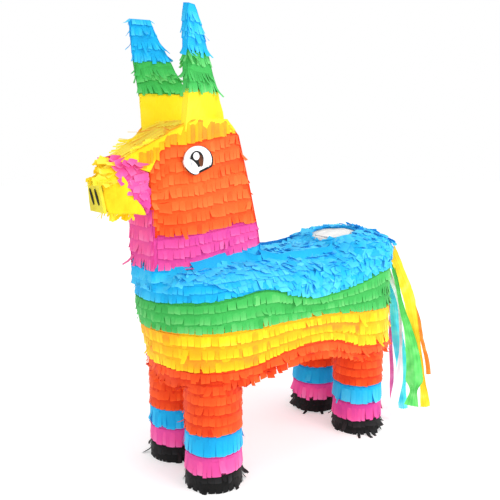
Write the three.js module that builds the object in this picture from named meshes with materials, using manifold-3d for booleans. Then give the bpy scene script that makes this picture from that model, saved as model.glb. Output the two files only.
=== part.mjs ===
// A pinata in the shape of a donkey: a hollow cardboard body on four tube legs, covered with
// rows of tissue fringe. Millimetres, +Z up. The nose points to -X and the donkey's left is -Y.
// The origin is on the ground under the middle of the body.

import * as THREE from 'three';
import { mergeVertices } from 'three/addons/utils/BufferGeometryUtils.js';
import Module from 'manifold-3d';

const wasm = await Module();
wasm.setup();

// ---- Driving dimensions ----

const gap = 0.3; // clearance between neighbouring pieces
const board = 3; // corrugated cardboard
const fringe = 4; // depth of the layered tissue over the cardboard
const boardOuter = fringe + gap; // how far the cardboard's faces lie inside the fringe's outer face
const boardInner = boardOuter + board;

const torsoHalfWidth = 86;
const torsoFrontCentre = -115; // x of the axis that the chest is bent round
const torsoRearCentre = 120; // x of the axis that the rump is bent round
const torsoCrown = 38; // how far the rounded top falls from its middle to its sides
const torsoTopFlat = 4; // width of the torso's top that stays level across its middle
const shoulderTopZ = 284;
const shoulderRounding = 42;
const rumpRounding = 44;
const rumpTopZ = 298;
const chestTaperTop = 225; // below this height the chest draws in towards the legs
const chestTaper = 0.0026; // share of the chest's depth for each millimetre down
const backTopZ = 300.5;
const backPanelRim = 255; // the back panel is folded down to this height

const legSpacingX = 130; // from the middle of the body to a leg's axis
const legSpacingY = 46.6;
const legRadius = 37; // over the fringe
const legTubeWall = 2.2;
const columnSides = 20;
const soleThickness = 3;
const hoofFringeLift = 1; // the hoof's fringe ends this far above the ground
const hoofTop = 23;
const legPinkTop = 48;
const legBlueTop = 75;

const snoutFront = -257; // at the muzzle plate's upper edge
const muzzleTop = 382;
const muzzleTilt = 0.12; // how far the plate leans back for each millimetre down
const muzzleThickness = 3;
const chinZ = 342;
const creaseFoot = 348; // the neck's pink front ends here, under the snout
const neckFront = -201;
const neckRear = -44;
const neckFoot = 252; // the neck's outline runs down into the shoulders to this height
const neckBase = 285.5; // the head cut-outs stand on the torso at this height
const neckRegionRear = -38;
const rearStripTop = 431;
const neckFrontStripTop = 352;
const headWidening = 0.0009; // share of the head's width for each millimetre of height
const headWideningCentre = 405; // the head has its drawn width at this height
const snoutWidening = 0.0082; // the snout's tip widens downwards, by this share
const snoutWideningCentre = 364;
const headPlanFrom = 200;
const headPlanTo = 500;
const headPlanSteps = 12;

const earFrontX = -172;
const earHalfSpacing = 52; // from the middle to an ear's front edge, at the ear's foot
const earFootZ = 462;
const earToe = THREE.MathUtils.degToRad(21); // the ears come together towards the rear
const earLeanOut = 0.144; // sideways lean for each millimetre of height
const earFringe = 2; // depth of the tissue on the ears
const earOuter = earFringe + gap;
const earSleeveFoot = -26; // heights along the ear, from its foot
const earGreenFrom = 22;
const earBlueFrom = 62;

const hole = { x: 108, y: -10, radius: 26.3, straight: 21 }; // filler hole in the back panel
const flapClearance = 0.6;
const flapThickness = 2.5;
const flapHinge = { x: 87.3, z: 290.4 }; // the axis runs along Y, at the hole's straight edge
const flapSlope = THREE.MathUtils.degToRad(7); // the back rises under the flap
const fringeHoleRadius = 33;

const eye = { x: -151, z: 405, width: 39, height: 34, face: 50.3, thickness: 0.8 };
const nostril = { y: 7.2, z: 364, width: 5, height: 19.5, thickness: 0.6, tilt: 0.3 };

const ribbonWidth = 7;
const ribbonThickness = 0.8;

const reach = 400; // larger than the object, for cutting
const span = 300; // half the length of the lines between the bands

const colours = {
  cardboard: 0xb08d5e,
  orange: 0xff6a28,
  pink: 0xf062ae,
  blue: 0x1fb8ef,
  green: 0x3db556,
  yellow: 0xf7d81e,
  black: 0x101010,
  muzzle: 0xd9d23a,
  white: 0xf4f2ec,
  cyan: 0x35d2f5,
};

// ---- Outlines, each anticlockwise ----

const points = (...pairs) => pairs.map(([x, y]) => new THREE.Vector2(x, y));

const smooth = (steps, ...pairs) => new THREE.SplineCurve(points(...pairs)).getPoints(steps);

const raised = (line, by) => line.map(({ x, y }) => new THREE.Vector2(x, y + by));

function arc(x, y, radius, fromDegrees, toDegrees, steps) {
  const from = THREE.MathUtils.degToRad(fromDegrees);
  const to = THREE.MathUtils.degToRad(toDegrees);
  return new THREE.EllipseCurve(x, y, radius, radius, from, to).getPoints(steps);
}

// Moves an outline inwards, keeping its edges parallel to where they were.
function inset(outline, distance) {
  return outline.map((point, i) => {
    const previous = outline[(i + outline.length - 1) % outline.length];
    const next = outline[(i + 1) % outline.length];
    const before = point.clone().sub(previous).normalize();
    const after = next.clone().sub(point).normalize();
    const inwards = new THREE.Vector2(-after.y, after.x);
    const corner = new THREE.Vector2(-before.y - after.y, before.x + after.x).normalize();
    return corner.multiplyScalar(distance / corner.dot(inwards)).add(point);
  });
}

// Both halves of a plan that is drawn from nose to tail on one side of the middle.
const bothSides = (half) => [
  ...half.map(({ x, y }) => new THREE.Vector2(x, -y)),
  ...half.slice().reverse(),
];

// The point at x on the straight line from one point through another.
const continued = ([fromX, fromY], [throughX, throughY], x) => [
  x, fromY + (throughY - fromY) * (x - fromX) / (throughX - fromX),
];

const torsoFront = torsoFrontCentre - torsoHalfWidth;
const torsoRear = torsoRearCentre + torsoHalfWidth;

const torsoPlan = [
  ...arc(torsoRearCentre, 0, torsoHalfWidth, -90, 90, 10),
  ...arc(torsoFrontCentre, 0, torsoHalfWidth, 90, 270, 10),
];

const torsoProfile = [
  ...points([torsoFront + 18, 50], [torsoRear, 50]),
  ...arc(torsoRear - rumpRounding, rumpTopZ - rumpRounding, rumpRounding, 0, 82, 4),
  ...smooth(
    16, [150, backTopZ], [118, backTopZ], [86, 294], [74, 286], [60, 281.5], [30, 280], [0, 280],
    [-70, shoulderTopZ],
  ),
  ...arc(torsoFront + shoulderRounding, shoulderTopZ - shoulderRounding, shoulderRounding, 90, 180, 4),
  ...points([torsoFront + 2, 200]),
];

// The snout's outlines run on past the muzzle plate, which closes them.
const snoutTip = snoutFront - 9;
const headPlan = bothSides(points(
  continued([-226, 26], [snoutFront, 17], snoutTip), [-226, 26], [neckFront, 32],
  [-170, 46.5], [-150, 49], [-125, 46.5], [-85, 40], [neckRear, 38],
));

const headProfile = points(
  [neckFront, neckFoot], [neckRear, neckFoot], [neckRear, 285], [-50, 316], [-64, 367], [-84, 433],
  [-104, 452], [-150, 450], [-170, 441], [-226, 408],
  continued([-226, 408], [snoutFront, 380], snoutTip),
  continued([neckFront, chinZ], [snoutFront, 347], snoutTip), [neckFront, chinZ],
);

// Edges between the coloured bands and along the belly, from nose to tail.
const bellyLine = smooth(
  20, [-span, 132], [-110, 133], [-85, 142], [-36, 151], [10, 152], [46, 148], [70, 138],
  [95, 128], [span, 117],
);
const yellowOverOrange = smooth(
  20, [-span, 159], [-129, 154], [-81, 156], [-43, 163], [10, 164], [46, 160], [70, 151],
  [120, 137], [span, 125],
);
const greenOverYellow = smooth(8, [-span, 204], [0, 200], [110, 192], [span, 181]);
const blueOverGreen = smooth(
  20, [-span, 236], [-201, 239], [-140, 242], [-90, 248], [-60, 245], [-20, 231], [20, 226],
  [60, 229], [107, 238], [160, 246], [span, 238],
);
const pinkOverBlue = points(
  [neckFront, 278], [-172, 275.5], [-137, 278.5], [-101, 282], [-70, 289.5],
  [neckRegionRear, 298],
);
const orangeOverPink = points([neckFront + fringe, 315], [neckRegionRear, 326]);
const capFront = -232;
const yellowCapEdge = points(
  [capFront, 403], [neckFront, 391], [-186, 424], [-154, 424], [-100, 436], [neckRear, 448],
);
const snoutPinkTop = -243; // the pink piece reaches this far forward on top of the snout
const snoutDiagonal = points([neckFront, 334.5], [snoutPinkTop, 412]);

// ---- Solids ----

function solid(geometry) {
  const bare = geometry.clone();
  bare.deleteAttribute('normal');
  bare.deleteAttribute('uv');
  const merged = mergeVertices(bare, 1e-3);
  return new wasm.Manifold(new wasm.Mesh({
    numProp: 3,
    vertProperties: new Float32Array(merged.attributes.position.array),
    triVerts: new Uint32Array(merged.index.array),
  }));
}

const joined = (solids) => solids.reduce((all, next) => all.add(next));

// An outline in X and Y, raised along Z.
function prismZ(outline, zLow, zHigh, steps = 1) {
  const settings = { depth: zHigh - zLow, bevelEnabled: false, steps };
  return new THREE.ExtrudeGeometry(new THREE.Shape(outline), settings).translate(0, 0, zLow);
}

// An outline in X and Z, widened along Y.
function prismY(outline, yLow, yHigh) {
  const settings = { depth: yHigh - yLow, bevelEnabled: false };
  const geometry = new THREE.ExtrudeGeometry(new THREE.Shape(outline), settings);
  return geometry.rotateX(Math.PI / 2).translate(0, yHigh, 0);
}

// Everything that an outline in X and Z covers.
const region = (outline) => solid(prismY(outline, -reach, reach));

const boxRegion = ([xLow, zLow], [xHigh, zHigh]) => region(
  points([xLow, zLow], [xHigh, zLow], [xHigh, zHigh], [xLow, zHigh]),
);

const above = (line) => region([...line, ...points([span, reach], [-span, reach])]);

const below = (line) => region([...points([-span, 0], [span, 0]), ...line.slice().reverse()]);

const leftOrRight = (sign) => solid(
  new THREE.BoxGeometry(2 * reach, reach, 2 * reach).translate(0, sign * reach / 2, 0),
);

function column(x, y, radius, zLow, zHigh) {
  const geometry = new THREE.CylinderGeometry(radius, radius, zHigh - zLow, columnSides);
  return solid(geometry.rotateX(Math.PI / 2).translate(x, y, (zLow + zHigh) / 2));
}

const ring = (x, y, outerRadius, innerRadius, zLow, zHigh) => (
  column(x, y, outerRadius, zLow, zHigh).subtract(column(x, y, innerRadius, zLow - 1, zHigh + 1))
);

// A geometry whose vertices are moved to where place puts them.
function moved(geometry, place) {
  const position = geometry.attributes.position;
  for (let i = 0; i < position.count; i += 1) {
    position.setXYZ(i, ...place(position.getX(i), position.getY(i), position.getZ(i)));
  }
  return geometry;
}

// The torso, with its surface moved inwards by depth.
function torso(depth) {
  const fall = torsoCrown - depth;
  const halfWidth = torsoHalfWidth - depth;
  const lengthwise = new THREE.ExtrudeGeometry(new THREE.Shape(inset(torsoProfile, depth)), {
    depth: torsoTopFlat,
    bevelThickness: halfWidth - torsoTopFlat / 2,
    bevelSize: fall,
    bevelOffset: -fall,
    bevelSegments: 5,
  }).rotateX(Math.PI / 2).translate(0, torsoTopFlat / 2, 0);
  const outline = inset(torsoPlan, depth);
  const lowerPlan = moved(prismZ(outline, 0, chestTaperTop), (x, y, z) => [
    x + Math.max(torsoFrontCentre - x, 0) * chestTaper * (chestTaperTop - z), y, z,
  ]);
  const plan = solid(lowerPlan).add(solid(prismZ(outline, chestTaperTop, reach)));
  return solid(lengthwise).intersect(plan).intersect(above(raised(bellyLine, depth)));
}

// The neck, head and snout, with their surface moved inwards by depth.
function head(depth) {
  const straight = prismZ(inset(headPlan, depth), headPlanFrom, headPlanTo, headPlanSteps);
  const plan = moved(straight, (x, y, z) => {
    const towardsTip = Math.max((neckFront - x) / (neckFront - snoutTip), 0);
    const widening = headWidening * (z - headWideningCentre) * (1 - towardsTip)
      - snoutWidening * (z - snoutWideningCentre) * towardsTip;
    return [x, y * (1 + widening), z];
  });
  return solid(plan).intersect(region(inset(headProfile, depth)));
}

const envelope = (depth) => torso(depth).add(head(depth));

const outer = envelope(0);
const underFringe = envelope(fringe);
const cardboard = envelope(boardOuter).subtract(envelope(boardInner));

// The x of the muzzle plate's front face at a height.
const muzzleFace = (z) => snoutFront + muzzleTilt * (muzzleTop - z);
const behindMuzzle = region(points(
  [muzzleFace(0) + muzzleThickness + gap, 0], [reach, 0], [reach, 2 * reach],
  [muzzleFace(2 * reach) + muzzleThickness + gap, 2 * reach],
));

// ---- Ears: flat cut-outs that stand on the head ----

function earPlacement(sign) {
  const along = new THREE.Vector3(Math.cos(earToe), -sign * Math.sin(earToe), 0);
  const up = new THREE.Vector3(0, sign * earLeanOut, 1);
  up.addScaledVector(along, -up.dot(along)).normalize();
  const across = along.clone().cross(up);
  return new THREE.Matrix4().makeBasis(along, up, across)
    .setPosition(earFrontX, sign * earHalfSpacing, earFootZ);
}

// The two cut-outs differ: the left one has the narrower tip.
const earOutlines = {
  left: points(
    [7, earSleeveFoot], [84, -19], [77, -1], [68, 13], [60, 27], [50, 40], [41, 55], [30, 74],
    [19, 92], [9, 105], [5, 109], [-6, 109], [-7, 98], [-3, 73], [0, 50], [4, 30], [7, 14],
  ),
  right: points(
    [3, earSleeveFoot], [84, -19], [77, -1], [68, 13], [60, 28], [53, 40], [48, 49], [42, 63],
    [35, 76], [29, 87], [23, 101], [19, 112.5], [-7, 113], [-6, 90], [-4, 62], [-1, 40], [2, 18],
  ),
};

// A slice of an ear between two heights above its foot, swollen by depth over its cardboard.
function earSlice(sign, depth, from, to) {
  const halfThickness = board / 2 + depth;
  const slab = new THREE.ExtrudeGeometry(
    new THREE.Shape(inset(sign < 0 ? earOutlines.left : earOutlines.right, earOuter - depth)),
    { depth: 2 * halfThickness, bevelEnabled: false },
  ).translate(0, 0, -halfThickness);
  const slice = new THREE.BoxGeometry(reach, to - from, reach).translate(0, (from + to) / 2, 0);
  const placement = earPlacement(sign);
  return solid(slab.applyMatrix4(placement)).intersect(solid(slice.applyMatrix4(placement)));
}

const earBoard = (sign) => earSlice(sign, 0, -reach, reach).subtract(envelope(boardOuter - gap));
const earHollow = (sign) => earSlice(sign, gap, -reach, reach);
const earSleeve = (sign, from, to) => earSlice(sign, earOuter, from, to).subtract(earHollow(sign));
const earGreen = (sign) => earSleeve(sign, earGreenFrom + gap / 2, earBlueFrom - gap / 2);
const earBlue = (sign) => earSleeve(sign, earBlueFrom + gap / 2, reach);

// ---- Head cut-outs and the strips that join them ----

const headRegion = boxRegion([-reach, neckBase], [neckRegionRear, 2 * reach]);
const stripFrame = head(boardOuter).subtract(region(inset(headProfile, boardInner)))
  .intersect(headRegion).intersect(behindMuzzle);
const headSides = cardboard.intersect(region(inset(headProfile, boardInner + gap)))
  .intersect(headRegion).intersect(behindMuzzle);
const muzzlePlate = head(0).intersect(region(points(
  [muzzleFace(0), 0], [muzzleFace(0) + muzzleThickness, 0],
  [muzzleFace(reach) + muzzleThickness, reach], [muzzleFace(reach), reach],
)));

const foreheadRegion = region(points(
  [-reach, 355], [-197, 375], [-160, 420], [-120, rearStripTop + gap],
  [0, rearStripTop + gap], [0, 500], [-reach, 500],
));
const neckRearRegion = boxRegion([-120, 0], [0, rearStripTop]);
const chinCorner = neckFront + boardOuter;
const chinRegion = boxRegion([-reach, 300], [chinCorner - gap / 2, 360]);
const neckFrontRegion = boxRegion([chinCorner + gap / 2, 0], [neckFront + 20, neckFrontStripTop]);

// ---- Torso panels ----

const torsoRegion = boxRegion([-reach, 0], [reach, neckBase - gap])
  .add(boxRegion([neckRegionRear + gap, 0], [reach, reach]));
const torsoWalls = cardboard.intersect(torsoRegion);
const sideWalls = torsoWalls.intersect(boxRegion([-reach, 0], [reach, backPanelRim - gap]))
  .intersect(above(raised(bellyLine, boardInner + gap)));
const middleWalls = sideWalls
  .intersect(boxRegion([torsoFrontCentre + gap, 0], [torsoRearCentre - gap, reach]));

// The round filler hole has one straight edge, where its flap is folded.
function fillerOutline(clearance) {
  const radius = hole.radius - clearance;
  const straightX = -hole.straight + clearance;
  const corner = Math.acos(straightX / radius);
  return new THREE.EllipseCurve(hole.x, hole.y, radius, radius, -corner, corner).getPoints(20);
}

const backPanel = torsoWalls.intersect(boxRegion([-reach, backPanelRim], [reach, reach]))
  .subtract(solid(prismZ(fillerOutline(0), backPanelRim, reach)));
const fillerFlap = prismZ(fillerOutline(flapClearance), -flapThickness, 0)
  .translate(-flapHinge.x, 0, 0).rotateY(-flapSlope).translate(flapHinge.x, 0, flapHinge.z);
const fringeHole = column(hole.x, hole.y, fringeHoleRadius, backPanelRim, reach);

// ---- Legs ----

const legs = [
  ['front_left', -1, -1], ['front_right', -1, 1], ['rear_left', 1, -1], ['rear_right', 1, 1],
].map(([name, along, across]) => ({ name, x: along * legSpacingX, y: across * legSpacingY }));

const sleeveInner = legRadius - fringe;
const tubeRadius = sleeveInner - gap;

const legTube = ({ x, y }) => ring(
  x, y, tubeRadius, tubeRadius - legTubeWall, soleThickness + gap, backPanelRim,
).intersect(below(raised(bellyLine, boardOuter - gap)));

const legSleeve = ({ x, y }, zLow, zHigh) => ring(
  x, y, legRadius, sleeveInner, zLow + gap / 2, zHigh - gap / 2,
);

const upperLegs = legs.map(({ x, y }) => (
  column(x, y, legRadius, legBlueTop + gap / 2, backPanelRim)
    .intersect(below(raised(bellyLine, 2 * fringe)))
));
const legHoles = legs.map(({ x, y }) => (
  column(x, y, sleeveInner, 0, backPanelRim).intersect(below(raised(bellyLine, boardOuter)))
));

// ---- Tissue fringe ----

const fringeShell = outer.subtract(underFringe).intersect(behindMuzzle);
const halfGap = gap / 2;

const band = (lower, upper) => fringeShell
  .intersect(above(raised(lower, halfGap))).intersect(below(raised(upper, -halfGap)));

const headYellow = fringeShell
  .intersect(region([...yellowCapEdge, ...points([neckRear, 500], [capFront, 500])]))
  .add(earSlice(-1, earOuter, earSleeveFoot, earGreenFrom - halfGap).subtract(underFringe))
  .add(earSlice(1, earOuter, earSleeveFoot, earGreenFrom - halfGap).subtract(underFringe))
  .subtract(earHollow(-1)).subtract(earHollow(1));

const headOrange = fringeShell.intersect(region([
  ...points([neckFront + fringe + halfGap, orangeOverPink[0].y + gap]),
  ...raised(orangeOverPink.slice(1), gap),
  ...raised(yellowCapEdge, -gap).slice(1).reverse(),
  ...points([neckFront, creaseFoot + gap], [neckFront + fringe + halfGap, creaseFoot + gap]),
])).subtract(earHollow(-1)).subtract(earHollow(1));

const neckPink = fringeShell.intersect(region([
  ...points([neckFront - halfGap, pinkOverBlue[0].y]),
  ...pinkOverBlue.slice(1),
  ...orangeOverPink.slice().reverse(),
  ...points([neckFront + fringe - halfGap, creaseFoot], [neckFront - halfGap, creaseFoot]),
]));

const snoutPink = fringeShell.intersect(region([
  ...points([neckFront - gap, snoutDiagonal[0].y]),
  ...raised(yellowCapEdge.slice(0, 2).reverse(), -gap).map(({ x, y }) => (
    new THREE.Vector2(x - gap, y)
  )),
  ...points([capFront - gap, 500], [snoutPinkTop, 500]),
  ...snoutDiagonal.slice(1),
]));

const snoutYellow = fringeShell.intersect(region([
  ...points([-reach, 300], [neckFront - 2 * gap, 300]),
  ...snoutDiagonal.map(({ x, y }) => new THREE.Vector2(x - 2 * gap, y)),
  ...points([snoutPinkTop - 2 * gap, 500], [-reach, 500]),
]));

const bodyBlue = fringeShell.intersect(region([
  ...raised(blueOverGreen, halfGap),
  ...points([span, reach], [neckRegionRear + gap, reach]),
  ...raised(pinkOverBlue, -gap).reverse(),
  ...points([-span, pinkOverBlue[0].y - gap]),
])).subtract(fringeHole);

const bodyOrange = joined([fringeShell, ...upperLegs])
  .subtract(underFringe).subtract(joined(legHoles))
  .intersect(below(raised(yellowOverOrange, -halfGap)));

// ---- Tail ribbons: each runs from the top of the rump down to its loose end ----

const tailRibbons = {
  orange: [
    [206.5, -30, 264], [224, -31, 240], [234, -39, 201], [245, -58, 164],
    [250, -70, 128], [252, -79, 95], [251, -84, 62],
  ],
  yellow: [
    [201, -42, 268], [218, -45, 236], [228, -52, 202], [234, -61, 165],
    [241, -70, 113], [243, -78, 62], [253, -85, 8],
  ],
  green: [
    [209, -21, 260], [213, -34, 236], [205, -57, 204], [210, -65, 168], [217, -71, 132],
    [222, -77, 91], [224, -82, 50], [216, -84, 18],
  ],
  white: [
    [211.3, -10, 264], [217, -21, 236], [215, -46, 188], [213, -55, 157], [212, -62, 121],
    [202, -67, 69], [188, -71, 30], [182, -74, 6],
  ],
  cyan: [
    [211.9, 0, 262], [221, -37, 181], [217, -44, 146], [216, -51, 111],
    [223, -56, 70], [221, -61, 36], [220, -66, 6],
  ],
  pink: [
    [211.3, 10, 258], [223, -28, 165], [218, -35, 124], [214, -40, 81],
    [210, -46, 37], [211, -51, 6],
  ],
};

function ribbon(route) {
  const path = new THREE.CatmullRomCurve3(route.map((place) => new THREE.Vector3(...place)));
  const section = points(
    [-ribbonThickness / 2, -ribbonWidth / 2], [ribbonThickness / 2, -ribbonWidth / 2],
    [ribbonThickness / 2, ribbonWidth / 2], [-ribbonThickness / 2, ribbonWidth / 2],
  );
  return new THREE.ExtrudeGeometry(new THREE.Shape(section), { steps: 14, extrudePath: path });
}

// ---- Eyes and nostrils ----

function eyeDisc(sign) {
  const { x, z, width, height, face, thickness } = eye;
  const outline = new THREE.EllipseCurve(x, z, width / 2, height / 2).getPoints(20).slice(0, -1);
  const near = Math.min(sign * face, sign * (face + thickness));
  return prismY(outline, near, near + thickness);
}

function nostrilOval(sign) {
  const { y, z, width, height, thickness, tilt } = nostril;
  const outline = new THREE.EllipseCurve(0, 0, width / 2, height / 2).getPoints(16).slice(0, -1);
  return prismY(outline, 0, thickness).rotateY(tilt).rotateZ(Math.PI / 2)
    .rotateY(-Math.atan(muzzleTilt)).translate(muzzleFace(z) - gap, sign * y, z);
}

// ---- The assembly ----

const pinata = new THREE.Group();

function geometryOf(shape) {
  if (shape instanceof THREE.BufferGeometry) return shape;
  const { vertProperties, triVerts } = shape.getMesh();
  const geometry = new THREE.BufferGeometry();
  geometry.setAttribute('position', new THREE.BufferAttribute(vertProperties, 3));
  geometry.setIndex(new THREE.BufferAttribute(triVerts, 1));
  geometry.computeVertexNormals();
  return geometry;
}

function add(name, colour, shape) {
  const roughness = colour === 'muzzle' ? 0.7 : 0.9;
  const material = new THREE.MeshStandardMaterial({
    color: colours[colour], roughness, metalness: 0,
  });
  const mesh = new THREE.Mesh(geometryOf(shape), material);
  mesh.name = name;
  pinata.add(mesh);
}

add('chest_panel', 'cardboard', sideWalls.intersect(boxRegion([-reach, 0], [torsoFrontCentre, reach])));
add('rump_panel', 'cardboard', sideWalls.intersect(boxRegion([torsoRearCentre, 0], [reach, reach])));
add('left_side_panel', 'cardboard', middleWalls.intersect(leftOrRight(-1)));
add('right_side_panel', 'cardboard', middleWalls.intersect(leftOrRight(1)));
add('back_panel', 'cardboard', backPanel);
add('belly_panel', 'cardboard', torsoWalls.intersect(below(raised(bellyLine, boardInner))));
add('filler_flap', 'white', fillerFlap);

add('left_head_panel', 'cardboard', headSides.intersect(leftOrRight(-1)));
add('right_head_panel', 'cardboard', headSides.intersect(leftOrRight(1)));
add('forehead_strip', 'cardboard', stripFrame.intersect(foreheadRegion));
add('neck_rear_strip', 'cardboard', stripFrame.intersect(neckRearRegion));
add('neck_front_strip', 'cardboard', stripFrame.intersect(neckFrontRegion));
add('chin_strip', 'cardboard', stripFrame.intersect(chinRegion));
add('muzzle_plate', 'muzzle', muzzlePlate);

for (const [name, sign] of [['left', -1], ['right', 1]]) {
  add(`${name}_ear`, 'cardboard', earBoard(sign));
  add(`${name}_ear_green_fringe`, 'green', earGreen(sign));
  add(`${name}_ear_blue_fringe`, 'blue', earBlue(sign));
  add(`${name}_eye`, 'white', eyeDisc(sign));
  add(`${name}_nostril`, 'black', nostrilOval(sign));
}

for (const leg of legs) {
  add(`${leg.name}_leg_tube`, 'cardboard', legTube(leg));
  add(`${leg.name}_hoof_sole`, 'black', column(leg.x, leg.y, tubeRadius, 0, soleThickness));
  add(`${leg.name}_leg_blue_fringe`, 'blue', legSleeve(leg, legPinkTop, legBlueTop));
  add(`${leg.name}_leg_pink_fringe`, 'pink', legSleeve(leg, hoofTop, legPinkTop));
  add(`${leg.name}_hoof_black_fringe`, 'black', legSleeve(leg, hoofFringeLift, hoofTop));
}

add('head_yellow_fringe', 'yellow', headYellow);
add('head_orange_fringe', 'orange', headOrange);
add('snout_yellow_fringe', 'yellow', snoutYellow);
add('snout_pink_fringe', 'pink', snoutPink);
add('neck_pink_fringe', 'pink', neckPink);
add('body_blue_fringe', 'blue', bodyBlue);
add('body_green_fringe', 'green', band(greenOverYellow, blueOverGreen));
add('body_yellow_fringe', 'yellow', band(yellowOverOrange, greenOverYellow));
add('body_orange_fringe', 'orange', bodyOrange);

for (const [colour, route] of Object.entries(tailRibbons)) {
  add(`tail_ribbon_${colour}`, colour, ribbon(route));
}

export default pinata;
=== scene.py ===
"""A donkey pinata: rows of cut tissue over a cardboard body.

Everything is in metres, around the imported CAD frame.
"""

import functools
import itertools
import math
import random
from bisect import bisect_right

import bmesh
import bpy
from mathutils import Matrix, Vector, noise
from mathutils.bvhtree import BVHTree


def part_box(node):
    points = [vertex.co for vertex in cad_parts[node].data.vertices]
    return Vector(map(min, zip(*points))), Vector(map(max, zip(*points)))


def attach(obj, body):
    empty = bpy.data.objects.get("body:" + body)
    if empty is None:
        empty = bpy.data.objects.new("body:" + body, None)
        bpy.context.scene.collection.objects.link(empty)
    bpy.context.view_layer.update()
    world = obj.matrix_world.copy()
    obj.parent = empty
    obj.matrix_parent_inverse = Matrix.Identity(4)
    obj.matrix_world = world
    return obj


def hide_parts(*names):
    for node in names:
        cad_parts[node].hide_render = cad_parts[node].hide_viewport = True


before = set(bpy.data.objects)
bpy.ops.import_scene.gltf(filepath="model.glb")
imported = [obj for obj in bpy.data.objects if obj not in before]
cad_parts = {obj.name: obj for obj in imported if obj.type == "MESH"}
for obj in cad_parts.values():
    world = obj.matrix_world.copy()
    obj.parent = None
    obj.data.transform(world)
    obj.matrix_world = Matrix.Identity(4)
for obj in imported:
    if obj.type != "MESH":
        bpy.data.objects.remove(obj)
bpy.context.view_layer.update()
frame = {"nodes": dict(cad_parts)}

MM = 0.001
UP = Vector((0, 0, 1))
NODES = frame["nodes"]


def add_object(name, data):
    made = bpy.data.objects.new(name, data)
    bpy.context.collection.objects.link(made)
    return made


# ---- Camera ----

camera_data = bpy.data.cameras.new("camera")
camera_data.sensor_width = 36
camera_data.lens = 43.71
camera = add_object("camera", camera_data)
camera.location = (-0.521044, -0.651492, 0.420432)
camera.rotation_euler = (math.radians(80.26), 0, math.radians(-36.57))
bpy.context.scene.camera = camera
bpy.context.scene.view_settings.view_transform = "Standard"


# ---- Colours and materials ----

def linear(red, green, blue):
    """An sRGB colour, from 0 to 255, as linear light."""
    def one(value):
        value /= 255
        return value / 12.92 if value <= 0.04045 else ((value + 0.055) / 1.055) ** 2.4
    return (one(red), one(green), one(blue), 1)


class Nodes:
    """A material's node tree, with short calls for making and joining nodes."""

    def __init__(self, name):
        self.material = bpy.data.materials.new(name)
        self.material.use_nodes = True
        self.tree = self.material.node_tree
        self.shader = self.tree.nodes["Principled BSDF"]

    def add(self, kind, **settings):
        node = self.tree.nodes.new(kind)
        for key, value in settings.items():
            setattr(node, key, value)
        return node

    def link(self, output, socket):
        self.tree.links.new(output, socket)

    def set(self, values):
        """Sets the shader's own sockets."""
        for socket, value in values.items():
            self.shader.inputs[socket].default_value = value

    def noise(self, scale, detail=3, stretch=(1, 1, 1)):
        """Noise in the object's own space, with features about 1/scale metres across."""
        place = self.add("ShaderNodeTexCoord")
        mapping = self.add("ShaderNodeMapping")
        mapping.inputs["Scale"].default_value = stretch
        texture = self.add("ShaderNodeTexNoise")
        texture.inputs["Scale"].default_value = scale
        texture.inputs["Detail"].default_value = detail
        self.link(place.outputs["Object"], mapping.inputs["Vector"])
        self.link(mapping.outputs["Vector"], texture.inputs["Vector"])
        return texture.outputs["Fac"]

    def math(self, operation, first, second):
        node = self.add("ShaderNodeMath", operation=operation)
        for socket, value in zip(node.inputs, (first, second)):
            if isinstance(value, (int, float)):
                socket.default_value = value
            else:
                self.link(value, socket)
        return node.outputs[0]

    def ramp(self, factor, *stops):
        """A colour ramp. Each stop is its position and an sRGB colour."""
        node = self.add("ShaderNodeValToRGB")
        while len(node.color_ramp.elements) < len(stops):
            node.color_ramp.elements.new(0.5)
        for element, (position, colour) in zip(node.color_ramp.elements, stops):
            element.position = position
            element.color = linear(*colour)
        self.link(factor, node.inputs["Fac"])
        return node.outputs["Color"]

    def bump(self, height, distance, strength=1.0):
        node = self.add("ShaderNodeBump")
        node.inputs["Distance"].default_value = distance
        node.inputs["Strength"].default_value = strength
        self.link(height, node.inputs["Height"])
        self.link(node.outputs["Normal"], self.shader.inputs["Normal"])


BLOTCHES, FIBRES = 0.22, 0.12  # how far each noise moves a tissue's shade
NOISE_MIDDLE = 0.17  # what the two noises add on average


def tissue(name, deep, plain, light, deepest=None, *, glow):
    """Crepe tissue coloured by each point's shade, with fine crinkles.

    The shade holds each strip's own tone, with painted shade at covered edges and roots and
    painted light, paler, towards each free tip. glow is painted light: the tissue gives off light
    in its own colours, which stands for the light that comes through the thin paper and lifts the
    shade between strands.
    """
    nodes = Nodes(name)
    shade = nodes.add("ShaderNodeAttribute", attribute_name="shade")
    blotches = nodes.noise(35, 2)
    fibres = nodes.noise(420, 4, (1, 1, 0.25))
    factor = nodes.math("ADD", shade.outputs["Fac"], nodes.math("MULTIPLY", blotches, BLOTCHES))
    factor = nodes.math("ADD", factor, nodes.math("MULTIPLY", fibres, FIBRES))
    factor = nodes.math("SUBTRACT", factor, NOISE_MIDDLE)
    stops = [(0.2 if deepest else 0.0, deep), (0.5, plain), (1.0, light)]
    if deepest:
        stops.insert(0, (0.0, deepest))
    colour = nodes.ramp(factor, *stops)
    nodes.link(colour, nodes.shader.inputs["Base Color"])
    nodes.link(colour, nodes.shader.inputs["Emission Color"])
    nodes.bump(nodes.math("ADD", nodes.noise(160, 3), fibres), 0.0006, 0.55)
    nodes.set({"Emission Strength": glow, "Roughness": 0.82, "Sheen Weight": 0.12,
               "Specular IOR Level": 0.25})
    return nodes.material


def paper(name, plain, dark, roughness=0.6, glow=0.0):
    """Smooth paper with slight waves and fibres, and perhaps a white glow."""
    nodes = Nodes(name)
    factor = nodes.math("ADD", nodes.math("MULTIPLY", nodes.noise(40, 3), 0.7),
                        nodes.math("MULTIPLY", nodes.noise(300, 4), 0.3))
    nodes.link(nodes.ramp(factor, (0.3, dark), (0.6, plain)), nodes.shader.inputs["Base Color"])
    nodes.bump(factor, 0.0008, 0.35)
    nodes.set({"Roughness": roughness, "Specular IOR Level": 0.3, "Emission Strength": glow})
    return nodes.material


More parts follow.
